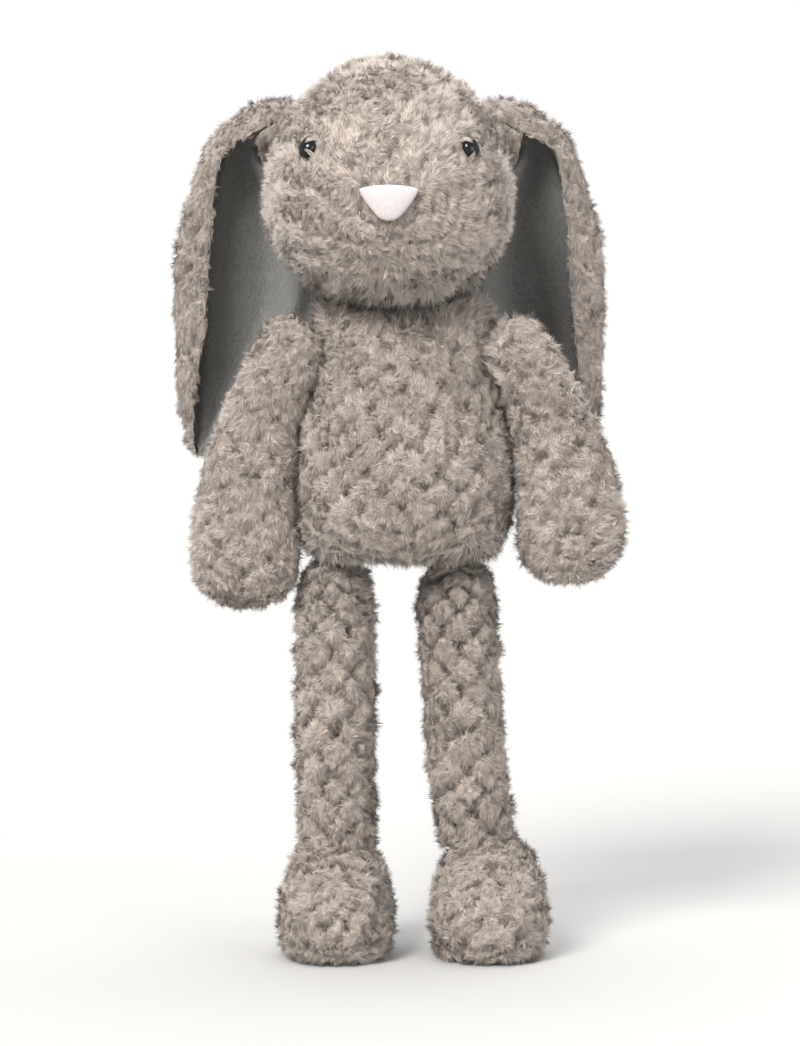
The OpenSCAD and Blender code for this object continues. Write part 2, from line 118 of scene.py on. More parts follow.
# ---- Materials -----------------------------------------------------------------------------------
def principled(name, colour, roughness, sheen=0.0):
    material = bpy.data.materials.new(name)
    material.use_nodes = True
    shader = material.node_tree.nodes["Principled BSDF"]
    shader.inputs["Base Color"].default_value = (*colour, 1.0)
    shader.inputs["Roughness"].default_value = roughness
    shader.inputs["Sheen Weight"].default_value = sheen
    return material


def add_noise_colour(material, dark, light, scale, detail=6.0):
    """Gives the base colour a fine mottle between two shades, from object coordinates."""
    tree = material.node_tree
    coords = tree.nodes.new("ShaderNodeTexCoord")
    noise = tree.nodes.new("ShaderNodeTexNoise")
    noise.inputs["Scale"].default_value = scale
    noise.inputs["Detail"].default_value = detail
    ramp = tree.nodes.new("ShaderNodeValToRGB")
    ramp.color_ramp.elements[0].position = 0.35
    ramp.color_ramp.elements[0].color = (*dark, 1.0)
    ramp.color_ramp.elements[1].position = 0.68
    ramp.color_ramp.elements[1].color = (*light, 1.0)
    tree.links.new(coords.outputs["Object"], noise.inputs["Vector"])
    tree.links.new(noise.outputs["Fac"], ramp.inputs["Fac"])
    tree.links.new(ramp.outputs["Color"], tree.nodes["Principled BSDF"].inputs["Base Color"])
    return noise


def add_bump(material, scale, distance, strength=1.0, stretch=(1, 1, 1)):
    """A fine raised grain. Stretching it along Z makes combed pile."""
    tree = material.node_tree
    coords = tree.nodes.new("ShaderNodeTexCoord")
    mapping = tree.nodes.new("ShaderNodeMapping")
    mapping.inputs["Scale"].default_value = stretch
    noise = tree.nodes.new("ShaderNodeTexNoise")
    noise.inputs["Scale"].default_value = scale
    noise.inputs["Detail"].default_value = 8.0
    bump = tree.nodes.new("ShaderNodeBump")
    bump.inputs["Strength"].default_value = strength
    bump.inputs["Distance"].default_value = distance
    tree.links.new(coords.outputs["Object"], mapping.inputs["Vector"])
    tree.links.new(mapping.outputs["Vector"], noise.inputs["Vector"])
    tree.links.new(noise.outputs["Fac"], bump.inputs["Height"])
    tree.links.new(bump.outputs["Normal"], tree.nodes["Principled BSDF"].inputs["Normal"])


def fabric(name, dark, light, scale, roughness, sheen, bump_scale, bump_depth, stretch=(1, 1, 1)):
    material = principled(name, light, roughness, sheen)
    add_noise_colour(material, dark, light, scale)
    add_bump(material, bump_scale, bump_depth, 1.0, stretch)
    return material


PLUSH = (0.42, 0.36, 0.315)


def shade(factor, warmth=0.0):
    return tuple(min(c * factor + w, 1.0) for c, w in zip(PLUSH, (warmth, 0.0, -warmth)))


# The backing cloth under the pile is coloured darker than the pile: painted shade for the depth of the pile.
plush_skin = fabric("plush_backing", shade(0.45), shade(0.75), 260.0, 0.95, 0.2, 900.0, 0.0006)
# Five tones of the one pile colour, from dark to pale. They vary at random from tuft to tuft, and the darker
# ones are also painted shade in creases, dimples, the sole seam, under the chin and at the tops of the legs.
pile_tips = [principled("pile_deep", shade(0.5), 0.9, 0.15),
             principled("pile_shadow", shade(0.8), 0.85, 0.25),
             principled("pile_middle", shade(1.0, 0.004), 0.85, 0.3),
             principled("pile_light", shade(1.17), 0.85, 0.3),
             principled("pile_pale", shade(1.36, -0.004), 0.85, 0.35)]
lining = fabric("ear_lining", (0.115, 0.113, 0.107), (0.165, 0.162, 0.154), 700.0, 0.8, 0.35, 1100.0, 0.0006,
                (1, 1, 0.35))
pink = fabric("nose_velour", (0.465, 0.415, 0.42), (0.51, 0.462, 0.466), 700.0, 0.8, 0.1, 2200.0, 0.0002)
thread = fabric("sewing_thread", shade(0.6), shade(0.9), 900.0, 0.6, 0.2, 2500.0, 0.0002)
tape = fabric("woven_tape", (0.82, 0.82, 0.8), (0.9, 0.9, 0.88), 800.0, 0.7, 0.1, 3000.0, 0.0001, (1, 1, 4))
washer_plastic = principled("washer_plastic", (0.85, 0.85, 0.82), 0.4)
add_noise_colour(washer_plastic, (0.78, 0.78, 0.75), (0.86, 0.86, 0.83), 300.0)
eye_plastic = principled("eye_plastic", (0.006, 0.006, 0.007), 0.06)
add_noise_colour(eye_plastic, (0.004, 0.004, 0.005), (0.009, 0.009, 0.01), 400.0)
eye_plastic.node_tree.nodes["Principled BSDF"].inputs["Specular IOR Level"].default_value = 0.32


def make_floor():
    mesh = bpy.data.meshes.new("floor")
    r = 30.0
    mesh.from_pydata([(-r, -r, 0), (r, -r, 0), (r, r, 0), (-r, r, 0)], [], [(0, 1, 2, 3)])
    floor = bpy.data.objects.new("floor", mesh)
    bpy.context.scene.collection.objects.link(floor)
    material = principled("pale_floor", (0.43, 0.425, 0.42), 0.9)
    add_noise_colour(material, (0.425, 0.42, 0.416), (0.435, 0.43, 0.426), 3.0)
    mesh.materials.append(material)


make_floor()


# ---- Numbers and meshes --------------------------------------------------------------------------
def unit(v):
    return v / np.maximum(np.linalg.norm(v, axis=-1, keepdims=True), 1e-12)


def run(keys, u):
    """A smooth run through stations, one row each, at every parameter in u."""
    keys = np.asarray(keys, float)
    last = len(keys) - 1
    s = np.clip(u, 0.0, 1.0) * last
    i = np.minimum(np.floor(s).astype(int), last - 1)
    f = (s - i)[..., None]
    a, b = keys[np.maximum(i - 1, 0)], keys[i]
    c, d = keys[i + 1], keys[np.minimum(i + 2, last)]
    return 0.5 * (2 * b + (c - a) * f + (2 * a - 5 * b + 4 * c - d) * f ** 2
                  + (3 * b - a - 3 * c + d) * f ** 3)


def new_mesh(name, points, sizes, corners, materials, indices=None, smooth=True):
    """A mesh object from flat arrays: the number of corners of each face, and the corners."""
    mesh = bpy.data.meshes.new(name)
    mesh.vertices.add(len(points))
    mesh.vertices.foreach_set("co", np.ascontiguousarray(points, np.float32).ravel())
    mesh.loops.add(len(corners))
    mesh.loops.foreach_set("vertex_index", np.ascontiguousarray(corners, np.int32))
    mesh.polygons.add(len(sizes))
    starts = np.concatenate([[0], np.cumsum(sizes)[:-1]]).astype(np.int32)
    mesh.polygons.foreach_set("loop_start", starts)
    for material in materials:
        mesh.materials.append(material)
    if indices is not None:
        mesh.polygons.foreach_set("material_index", np.ascontiguousarray(indices, np.int32))
    mesh.update(calc_edges=True)
    mesh.polygons.foreach_set("use_smooth", np.full(len(sizes), smooth))
    mesh.validate()
    piece = bpy.data.objects.new(name, mesh)
    bpy.context.scene.collection.objects.link(piece)
    return piece


def smoothstep(x, low, high):
    t = np.clip((x - low) / (high - low), 0.0, 1.0)
    return t * t * (3 - 2 * t)


def hashed(i, j, seed):
    """A repeatable number from 0 to 1 for each lattice cell."""
    h = np.sin(i * 127.1 + j * 311.7 + seed * 74.7) * 43758.5453
    return h - np.floor(h)


def ripples(p, seed, wave=6.5 * MM):
    """Smooth noise from about -1 to 1 over space."""
    random = np.random.default_rng(seed + 500)
    total = np.zeros(p.shape[:-1])
    for _ in range(14):
        k = unit(random.normal(size=3)) * 2 * math.pi / wave * random.uniform(0.7, 1.3)
        total += np.sin(p @ k + random.uniform(0, 6.28))
    return np.clip(total / 3.6, -1.2, 1.2)


# ---- Bubble plush: a jittered diamond lattice of puffs --------------------------------------------
CELL_W = 19.5 * MM
CELL_H = 20.0 * MM


def bubbles(s, t, seed, cell_w=CELL_W, cell_h=CELL_H, jitter=0.10):
    """For flat cloth coordinates: how near a crease and a dimple each point is, and the way out from
    the middle of its puff."""
    power = 1.4
    best = np.full((4,) + s.shape, 9.0)
    away = np.zeros(s.shape + (2,))
    row0 = np.floor(t / (cell_h / 2)).astype(int)
    for dr in (-2, -1, 0, 1, 2, 3):
        row = row0 + dr
        shift = np.where(row % 2 == 0, 0.0, 0.5)
        col0 = np.floor(s / cell_w - shift).astype(int)
        for dc in (-1, 0, 1, 2):
            col = col0 + dc
            cs = (col + shift + (hashed(col, row, seed) - 0.5) * 2 * jitter) * cell_w
            ct = (row / 2 + (hashed(col, row, seed + 5) - 0.5) * 2 * jitter) * cell_h
            ds, dt = (s - cs) / (cell_w / 2), (t - ct) / (cell_h / 2)
            dist = (np.abs(ds) ** power + np.abs(dt) ** power) ** (1 / power)
            nearer = dist < best[0]
            away[nearer] = np.stack([ds, dt], -1)[nearer]
            stack = np.concatenate([best, dist[None]])
            stack.sort(axis=0)
            best = stack[:4]
    crease = np.exp(-((best[1] - best[0]) / 0.20) ** 2)
    dimple = np.exp(-((best[2] - best[0]) / 0.29) ** 2)
    return crease, dimple, away, best[0]


# ---- Skins ----------------------------------------------------------------------------------------
class Skin:
    """A closed or open grid of points over a shape, with flat cloth coordinates in s and t."""

    def __init__(self, shape, rows, cols, seed, puff=2.2 * MM, inset=2.2 * MM, weight=None, u_range=(0, 1),
                 angles=(-90.0, 270.0), cells=(CELL_W, CELL_H), clump=0.75 * MM,
                 creasing=0.35, jitter=0.10):
        u = np.linspace(*u_range, rows)
        angle = np.radians(np.linspace(*angles, cols))
        self.u, self.angle = np.meshgrid(u, angle, indexing="ij")
        base = shape(self.u, self.angle)
        self.normal = self.normals(base)
        middle = base.reshape(-1, 3).mean(0)
        if ((base - middle) * self.normal).sum() < 0:
            self.normal = -self.normal
        across = np.linalg.norm(np.diff(base, axis=1), axis=-1)
        self.s = np.concatenate([np.zeros((rows, 1)), np.cumsum(across, 1)], 1)
        self.s -= self.s[:, cols // 2:cols // 2 + 1]
        along = np.linalg.norm(np.diff(base, axis=0), axis=-1)
        step = along[:, cols // 4:-cols // 4].mean(1)
        self.t = np.concatenate([[0], np.cumsum(step)])[:, None] + np.zeros_like(self.s)
        self.crease, self.dimple, self.away, self.middle = bubbles(self.s, self.t, seed, *cells, jitter)
        self.crease *= creasing
        self.base = base
        w = 1.0 if weight is None else weight(self)
        self.weight = w + np.zeros_like(self.s)
        lift = puff * (0.7 * (1 - np.clip(self.middle, 0, 1.2) ** 2) - 0.8 * self.crease - 1.6 * self.dimple)
        lift = self.weight * lift + clump * ripples(base, seed)
        self.points = base + self.normal * (lift - inset)[..., None]
        self.normal = self.facing(self.points)

    def facing(self, points):
        n = self.normals(points)
        return np.where((n * self.normal).sum(-1, keepdims=True) < 0, -n, n)

    @staticmethod
    def normals(p):
        du = np.gradient(p, axis=0)
        da = np.gradient(p, axis=1)
        n = np.cross(du, da)
        size = np.linalg.norm(n, axis=-1, keepdims=True)
        good = size[..., 0] > 1e-14
        n = n / np.maximum(size, 1e-14)
        for row in (0, -1):
            if not good[row].all():
                n[row] = n[1 if row == 0 else -2].mean(0)
        return unit(n)

    def piece(self, name, materials, first=0, last=None, thickness=0.0):
        """The columns from first to last as an object, closed into a shell when it has a thickness."""
        p = self.points[:, first:last]
        rows, cols = p.shape[:2]
        grid = np.arange(rows * cols).reshape(rows, cols)
        quads = np.stack([grid[:-1, :-1], grid[:-1, 1:], grid[1:, 1:], grid[1:, :-1]], -1).reshape(-1, 4)
        points = p.reshape(-1, 3)
        if thickness:
            inner = (p - thickness * self.normal[:, first:last]).reshape(-1, 3)
            total = rows * cols
            points = np.concatenate([points, inner])
            rim = np.concatenate([grid[0], grid[1:, -1], grid[-1, -2::-1], grid[-2:0:-1, 0]])
            ahead = np.roll(rim, -1)
            sides = np.stack([rim, ahead, ahead + total, rim + total], -1)
            quads = np.concatenate([quads, quads[:, ::-1] + total, sides[:, ::-1]])
        return new_mesh(name, points, np.full(len(quads), 4), quads.ravel(), materials)

    def sample(self, count, random):
        """Random places spread evenly over the skin, as grid cells and fractions."""
        a, b = self.points[1:, :-1] - self.points[:-1, :-1], self.points[:-1, 1:] - self.points[:-1, :-1]
        area = np.linalg.norm(np.cross(a, b), axis=-1)
        chance = np.cumsum(area.ravel())
        pick = np.searchsorted(chance, random.random(count) * chance[-1])
        i, j = np.unravel_index(np.minimum(pick, area.size - 1), area.shape)
        return i, j, random.random(count), random.random(count)

    def at(self, field, i, j, fi, fj):
        shape = (-1,) + (1,) * (field.ndim - 2)
        fi, fj = fi.reshape(shape), fj.reshape(shape)
        return (field[i, j] * (1 - fi) * (1 - fj) + field[i + 1, j] * fi * (1 - fj)
                + field[i, j + 1] * (1 - fi) * fj + field[i + 1, j + 1] * fi * fj)

    def area(self):
        a, b = self.points[1:, :-1] - self.points[:-1, :-1], self.points[:-1, 1:] - self.points[:-1, :-1]
        return np.linalg.norm(np.cross(a, b), axis=-1).sum()


# ---- Pile: tufts of fine fibres ----------------------------------------------------------------------
TUFTS_PER_MM2 = 0.36
FIBRES = 7


def swirl(p, seed, wave=24.0 * MM):
    """A smooth wandering direction over space, which combs neighbouring tufts alike."""
    random = np.random.default_rng(seed)
    flow = np.zeros_like(p)
    for _ in range(7):
        k = random.normal(size=(3, 3)) * 2 * math.pi / wave / 1.7
        flow += np.sin(p @ k.T + random.uniform(0, 6.28, 3))
    return flow / 2.6


def pile(name, skin, seed, length=PILE_LENGTH, comb=(0, 0, -1), comb_weight=0.3, spread=0.24, thin=None,
         width=0.34 * MM, density=1.0, rise=0.56, flow=0.5, outline=0.6, longer=None,
         paler=None):
    """Tufts of fibres over a skin. Each tuft leans with its neighbours and out from its puff's middle."""
    random = np.random.default_rng(seed)
    count = int(skin.area() / MM ** 2 * TUFTS_PER_MM2 * density)
    i, j, fi, fj = skin.sample(count, random)
    root = skin.at(skin.points, i, j, fi, fj)
    keep = random.random(count) > 0.6 * smoothstep(skin.at(skin.dimple, i, j, fi, fj), 0.6, 0.95)
    if thin is not None:
        keep &= thin(root)
    i, j, fi, fj, root = i[keep], j[keep], fi[keep], fj[keep], root[keep]
    normal = unit(skin.at(skin.normal, i, j, fi, fj))
    away, dimple, crease, weight = (skin.at(f, i, j, fi, fj)
                                    for f in (skin.away, skin.dimple, skin.crease, skin.weight))
    n, k = len(root), FIBRES
    tangent_s = unit(skin.points[i, j + 1] - skin.points[i, j])
    tangent_t = unit(skin.points[i + 1, j] - skin.points[i, j])
    outward = away[:, :1] * tangent_s + away[:, 1:] * tangent_t
    combed = np.asarray(comb, float) if isinstance(comb, tuple) else comb(root)
    lean = (weight[:, None] * outline * outward + comb_weight * combed + flow * swirl(root, seed)
            + spread * random.normal(size=(n, 3)))
    lean -= (lean * normal).sum(-1, keepdims=True) * normal
    long = length * random.uniform(0.8, 1.12, (n, 1)) * (1 - 0.35 * weight * dimple)[:, None]
    if longer is not None:
        long *= longer(root)[:, None]
    direction = unit(rise * normal + lean)
    side = unit(np.cross(direction, normal))
    ring = random.normal(size=(n, k, 2)) * 0.8 * MM
    cross = unit(np.cross(normal, side))
    start = root[:, None] + ring[..., :1] * side[:, None] + ring[..., 1:] * cross[:, None]
    start -= normal[:, None] * 0.5 * MM
    tip = start + (direction * long)[:, None] * random.uniform(0.7, 1.0, (n, k, 1))
    tip -= (start - root[:, None]) * 0.45
    tip += random.normal(size=(n, k, 3)) * 0.34 * MM
    flat = unit(side[:, None] + random.normal(size=(n, k, 3)) * 0.28)
    half = 0.5 * width * random.uniform(0.75, 1.25, (n, k, 1))
    points = np.stack([start - flat * half, start + flat * half, tip], 2).reshape(-1, 3)
    total = n * k
    # Each tuft's tone: random, shifted by place, and lowered in creases and dimples as painted shade for the
    # hollows between the puffs.
    pale = np.zeros(n) if paler is None else paler(root)
    tone = np.clip(2.6 + pale[:, None] + random.normal(0, 0.75, (n, 1)) + random.normal(0, 0.65, (n, k))
                   - ((1.1 * crease + 2.3 * dimple) * weight)[:, None], 0, 4.49).astype(int)
    fur = new_mesh(name, points, np.full(total, 3), np.arange(total * 3), pile_tips, tone.ravel())
    soft = unit(normal[:, None] + 0.3 * direction[:, None] + 0.24 * random.normal(size=(n, 1, 3))
                + 0.1 * random.normal(size=(n, k, 3)))
    fur.data.normals_split_custom_set_from_vertices(np.repeat(soft.reshape(-1, 3), 3, axis=0))
    return fur


# ---- Where things are, from the CAD ------------------------------------------------------------------
def joined_box(*nodes):
    boxes = [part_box(n) for n in nodes]
    low = np.min([b[0] for b in boxes], axis=0)
    high = np.max([b[1] for b in boxes], axis=0)
    return low, high


def joint_place(name):
    return np.array(next(j["pos_m"] for j in frame["joints"] if j["name"] == name), float)


def ringed(keys, mode, taper=0.0, square=2.0):
    """A shape function: stations of x, y, z, half width and half depth, with rings around the run."""
    def shape(u, angle):
        k = run(keys, u)
        c, s = np.cos(angle), np.sin(angle)
        cc = np.sign(c) * np.abs(c) ** (2 / square)
        ss = np.sign(s) * np.abs(s) ** (2 / square)
        first = k[..., 3] * cc * (1 - taper * s)
        second = k[..., 4] * ss
        out = k[..., :3].copy()
        out[..., 0] += first
        if mode == "level":
            out[..., 1] += second
        else:
            out[..., 2] += second
        return out
    return shape


# ---- Torso -------------------------------------------------------------------------------------------
t_low, t_high = joined_box("torso_front", "torso_back")
tx, ty = (t_low[0] + t_high[0]) / 2, (t_low[1] + t_high[1]) / 2
tw, td, th = (t_high[0] - t_low[0]) / 2, (t_high[1] - t_low[1]) / 2, t_high[2] - t_low[2]


def torso_station(z, w, d, dy=0.0):
    return (tx, ty + dy * td, t_low[2] + z * th, w * tw, d * td)


torso_keys = [torso_station(*row) for row in (
    (0.0, 0.40, 0.25, 0.02), (0.006, 0.74, 0.62, 0.02), (0.04, 0.90, 0.83, 0.0), (0.13, 1.0, 0.97, 0.0),
    (0.26, 1.035, 1.0, 0.0), (0.42, 1.03, 0.96, 0.01), (0.58, 0.985, 0.88, 0.03), (0.74, 0.93, 0.81, 0.05),
    (0.87, 0.88, 0.73, 0.07), (0.955, 0.84, 0.58, 0.07), (1.0, 0.74, 0.42, 0.07),
    (1.035, 0.45, 0.24, 0.07))]
torso_rings = ringed(torso_keys, "level", square=2.1)


def torso_shape(u, angle):
    """The shoulders rise a little on both sides of the neck, to meet the head."""
    p = torso_rings(u, angle)
    side = smoothstep(np.abs(p[..., 0] - tx), 13 * MM, 36 * MM)
    p[..., 2] += 8 * MM * side * smoothstep(p[..., 2], t_high[2] - 16 * MM, t_high[2] - 1 * MM)
    return p


def torso_weight(skin):
    """The chest is nearly smooth, and the belly and the back are dimpled."""
    chest = smoothstep(skin.base[..., 2], t_low[2] + 55 * MM, t_high[2] - 15 * MM)
    return 1 - 0.5 * chest


torso = Skin(torso_shape, 130, 261, seed=3, puff=2.6 * MM, weight=torso_weight)


def torso_comb(root):
    """The pile hangs, and stands up around the neck."""
    up = smoothstep(root[:, 2], t_high[2] - 16 * MM, t_high[2] - 6 * MM)
    return np.stack([0 * up, 0 * up, 2.6 * up - 1], -1)


def torso_longer(root):
    ends = smoothstep(root[:, 2], t_high[2] - 14 * MM, t_high[2] - 3 * MM)
    ends += 1 - smoothstep(root[:, 2], t_low[2] + 3 * MM, t_low[2] + 12 * MM)
    return 1 + 0.6 * ends


def torso_paler(root):
    """Painted shade: the chest's pile is darker, for the chin's shadow; the rest of the torso's pile is a
    little paler.
    """
    return 0.2 - 1.0 * smoothstep(root[:, 2], t_high[2] - 62 * MM, t_high[2] - 22 * MM)


def split_front_back(skin, front, back, name, body, inside=(), **kwargs):
    """A skin whose columns start at the front's middle: the quarter turns are its side seams."""
    quarter = (skin.points.shape[1] - 1) // 4
    halves = ((front, [(0, quarter), (3 * quarter, 4 * quarter)]), (back, [(quarter, 3 * quarter)]))
    for node, ranges in halves:
        parts = [skin.piece(node + "_plush", [plush_skin], a, b + 1) for a, b in ranges]
        if len(parts) > 1:
            with bpy.context.temp_override(active_object=parts[0], selected_editable_objects=parts):
                bpy.ops.object.join()
        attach(parts[0], body)
        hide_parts(node, *inside)
        inside = ()
    fur = pile(name + "_pile", skin, **kwargs)
    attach(fur, body)


split_front_back(torso, "torso_front", "torso_back", "torso", "torso", inside=("torso_filling",), seed=31,
                 comb=torso_comb, longer=torso_longer, paler=torso_paler)

# ---- Head --------------------------------------------------------------------------------------------
h_low, h_high = joined_box("head_side_right", "head_side_left", "head_gusset")
hx, hz = (h_low[0] + h_high[0]) / 2, (h_low[2] + h_high[2]) / 2
hw, hh, hd = (h_high[0] - h_low[0]) / 2, (h_high[2] - h_low[2]) / 2, h_high[1] - h_low[1]


def head_station(y, w, h, dz=0.0):
    return (hx, h_low[1] + y * hd, hz + dz * hh, w * hw, h * hh)


head_keys = [head_station(*row) for row in (
    (0.0, 0.012, 0.012, -0.26), (0.034, 0.38, 0.33, -0.24), (0.137, 0.70, 0.67, -0.12),
    (0.308, 0.92, 0.91, -0.03), (0.556, 1.0, 1.0, 0.0), (0.778, 0.90, 0.92, 0.016),
    (0.923, 0.58, 0.60, 0.033), (0.985, 0.22, 0.22, 0.033), (1.0, 0.012, 0.012, 0.033))]


def face_weight(skin):
    """The bubbles are faint on the face and full on the crown, the back and under the chin."""
    forward = smoothstep(-(skin.normal[..., 1]), 0.35, 0.9)
    return 1.1 - 0.4 * forward


head = Skin(ringed(head_keys, "upright", taper=0.14, square=2.1), 150, 301, seed=7, weight=face_weight)
eye_places = [np.array(sum(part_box("eye_" + side), Vector()) / 2) for side in SIDES]
nose_low, nose_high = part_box("nose_patch")
nose_place = np.array((nose_low + nose_high) / 2)


def face_thin(root):
    """Keeps the pile off the eyes' domes and the nose patch."""
    keep = np.ones(len(root), bool)
    for place in eye_places:
        near = np.linalg.norm((root - place)[:, [0, 2]], axis=-1)
        keep &= (near > 7.4 * MM) | (root[:, 1] > 0)
    across, _, up = (root - nose_place).T
    half_w, _, half_h = (nose_high - nose_low) / 2
    inside = np.abs(across) / half_w + np.maximum(-up / half_h, 0) * 0.62 < 0.93
    inside &= (up > -half_h * 0.75) & (up < half_h * 0.95)
    keep &= ~(inside & (root[:, 1] < nose_place[1] + 20 * MM))
    return keep


def face_comb(root):
    """The pile runs away from the nose, and closes over the rims of the eyes."""
    comb = unit(root - nose_place) * np.array([1.0, 0.2, 1.0]) + np.array([0, 0, -0.25])
    for place in eye_places:
        to_eye = place - root
        near = 1 - smoothstep(np.linalg.norm(to_eye, axis=-1), 6 * MM, 11 * MM)
        comb += 0.7 * near[:, None] * unit(to_eye)
    return comb


def head_longer(root):
    return 1 + 0.7 * (1 - smoothstep(root[:, 2], h_low[2] + 4 * MM, h_low[2] + 18 * MM))


gusset = 22
for node, a, b in (("head_side_left", 0, 150 - gusset), ("head_gusset", 150 - gusset, 150 + gusset),
                   ("head_side_right", 150 + gusset, 300)):
    part = head.piece(node + "_plush", [plush_skin], a, b + 1)
    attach(part, "head")
    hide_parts(node, *(["head_filling"] if node == "head_gusset" else []))
face_fur = pile("head_pile", head, seed=71, comb=face_comb, comb_weight=0.5, thin=face_thin,
                longer=head_longer, paler=lambda root: 0.75 + 0 * root[:, 0])
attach(face_fur, "head")


def make_eye_tufts(side, seed):
    """Tufts of pile that reach over an eye's dome from its rim, so that it shows as a dark star."""
    random = np.random.default_rng(seed)
    eye = frame["nodes"]["eye_" + side]
    corners = np.array([eye.matrix_world @ v.co for v in eye.data.vertices])
    axis = np.linalg.svd(corners - corners.mean(0), full_matrices=False)[2][0]
    axis = axis if axis[1] < 0 else -axis
    apex = corners[np.argmax(corners @ axis)]
    base = apex - 3.75 * MM * axis
    across = unit(np.cross(axis, np.array([0.0, 0.0, 1.0])))
    up = np.cross(across, axis)
    turns = np.radians(np.array([60.0, 125.0, 205.0, 300.0]) + random.uniform(-12, 12, 4))
    m, k = len(turns), 15
    turn = np.repeat(turns, k) + random.normal(size=m * k) * 0.08
    ray = np.cos(turn)[:, None] * across + np.sin(turn)[:, None] * up
    flat = unit(np.cross(ray, axis)) * 0.17 * MM

    def along(out, lift, blur):
        return base + ray * out * MM + axis * lift * MM + random.normal(size=(m * k, 3)) * blur * MM
    start, middle = along(6.6, -0.6, 0.5), along(5.0, 2.5, 0.35)
    tip = along(2.3, 4.2, 0.25) + ray * random.uniform(-0.4, 1.8, (m * k, 1)) * MM
    points = np.stack([start + flat, start - flat, middle - flat, middle + flat, tip], 1)
    first = np.arange(m * k)[:, None] * 5
    faces = np.concatenate([(first + [0, 1, 2, 3]).ravel(), (first + [3, 2, 4]).ravel()])
    tone = np.tile(random.integers(1, 4, m * k), 2)
    tufts = new_mesh("eye_" + side + "_tufts", points.reshape(-1, 3), np.repeat([4, 3], m * k), faces,
                     pile_tips, tone)
    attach(tufts, "head")


for side in SIDES:
    make_eye_tufts(side, 101 if side == "right" else 102)


# ---- Arms --------------------------------------------------------------------------------------------
def make_arm(side):
    """The arm hangs from its shoulder's middle, bowed outward, and its own axis leans."""
    sign = SIDES[side]
    low, high = joined_box("arm_front_" + side, "arm_back_" + side)
    pivot = joint_place("shoulder_raise_" + side)
    ball = high[2] - pivot[2]
    lean = math.radians(ARM_LEAN[side])
    paw_w, paw_d = PAW_W, high[1] - low[1]
    bow = 6.5 * MM
    reach = (pivot[2] - low[2]) / math.cos(lean) - 23.0 * MM
    rows = ((0, ball * 1.04, 0.15 * ball, 0.15 * ball), (0, ball * 0.74, ball * 0.74, ball * 0.72),
            (-2 * MM, 0, ball * 1.22, ball * 1.0), (bow * 0.6, -reach * 0.30, ball * 1.34, ball * 1.0),
            (bow * 0.7, -reach * 0.58, paw_w * 0.455, paw_d * 0.47),
            (bow * 0.1, -reach * 0.84, paw_w * 0.53, paw_d / 2),
            (-2.5 * MM, -reach - 3 * MM, paw_w * 0.54, paw_d / 2),
            (-2.5 * MM, -reach - 17 * MM, paw_w * 0.41, paw_d * 0.40),
            (0, -reach - 26 * MM, paw_w * 0.10, paw_d * 0.10))
    keys = [(sign * out, 0.0, along, w, d) for out, along, w, d in rows]
    hang = ringed(keys, "level", square=2.1)

    def shape(u, angle):
        p = hang(u, angle)
        x, z = p[..., 0], p[..., 2]
        turned = np.stack([x * math.cos(lean) - sign * z * math.sin(lean), p[..., 1],
                           z * math.cos(lean) + sign * x * math.sin(lean)], -1)
        return turned + pivot
    skin = Skin(shape, 150, 121, seed=11 + int(sign), puff=2.2 * MM, weight=lambda k: 0.75)
    split_front_back(skin, "arm_front_" + side, "arm_back_" + side, "arm_" + side, "arm_" + side,
                     inside=("arm_filling_" + side,), seed=41 + int(sign), comb_weight=0.4,
                     paler=lambda root: 0.35 + 0 * root[:, 0])


for side in SIDES:
    make_arm(side)


# ---- Legs --------------------------------------------------------------------------------------------
def make_leg(side):
    sign = SIDES[side]
    hip = joint_place("hip_swing_" + side)
    ankle = joint_place("ankle_flex_" + side)
    low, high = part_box("leg_cover_" + side)
    radius = (high[1] - low[1]) / 2
    length = high[2] - low[2] + 8 * MM
    keys = []
    for f, w, m in ((0.0, 0.35, 0), (0.03, 0.74, 0), (0.10, 0.94, 0), (0.2, 1.0, 0), (0.44, 1.0, 0.16),
                    (0.72, 1.0, 0.40), (0.93, 0.98, 0.72), (1.0, 0.95, 0.86)):
        x = hip[0] + (ankle[0] - hip[0]) * m
        keys.append((x, hip[1], high[2] + 1.5 * MM - f * length, radius * w, radius * w))
    skin = Skin(ringed(keys, "level"), 150, 121, seed=17 + int(sign), puff=2.8 * MM, creasing=0.6,
                cells=(radius * math.pi / 3, CELL_H), jitter=0.15)
    part = skin.piece("leg_cover_" + side + "_plush", [plush_skin])
    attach(part, "leg_" + side)
    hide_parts("leg_cover_" + side, "leg_filling_" + side)
    # Painted shade: the pile darkens towards the tops of the legs, where the torso shades them.
    fur = pile("leg_" + side + "_pile", skin, seed=51 + int(sign), comb_weight=0.35,
               paler=lambda root: -1.3 * smoothstep(root[:, 2], high[2] - 45 * MM, high[2] - 12 * MM))
    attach(fur, "leg_" + side)


